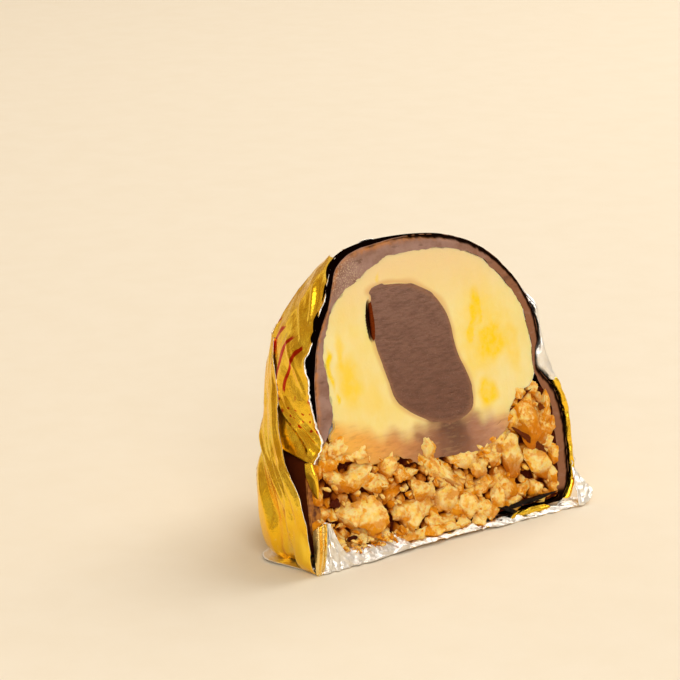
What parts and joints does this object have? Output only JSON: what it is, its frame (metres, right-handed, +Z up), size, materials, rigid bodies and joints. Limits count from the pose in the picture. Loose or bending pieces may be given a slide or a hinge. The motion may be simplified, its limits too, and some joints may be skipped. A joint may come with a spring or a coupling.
{
  "type": "halved foil-wrapped praline",
  "caption": "Cut half of a foil-wrapped praline: chocolate shell, yellow cream, ganache core and a base of chopped nuts, with the torn foil round its back. Rests on its flat base.",
  "frame": {"origin": "on the floor plane under the top of the dome, 5.4 mm behind the foot of the cut face, on the foil's flat underside", "axes": "+Z up; the cut face looks to -Y and leans back by 10 degrees; +X to the right as seen facing the cut"},
  "size_m": [0.0381, 0.0202, 0.0305],
  "materials": {
    "chocolate": "dark chocolate: matte brown where cut, near-black and glossy outside",
    "cream": "soft yellow fondant cream with deeper yellow patches, satin",
    "ganache": "matte fine-grained grey-brown ganache",
    "nuts": "chopped roasted nuts with pale cut faces in a dark caramel binder",
    "foil": "creased bright gold foil, silver inside"
  },
  "bodies": {
    "root": {"chocolate_shell": "chocolate", "yellow_cream": "cream", "ganache_core": "ganache", "nut_base": "nuts", "foil_wrapper": "foil"}
  },
  "joints": []
}
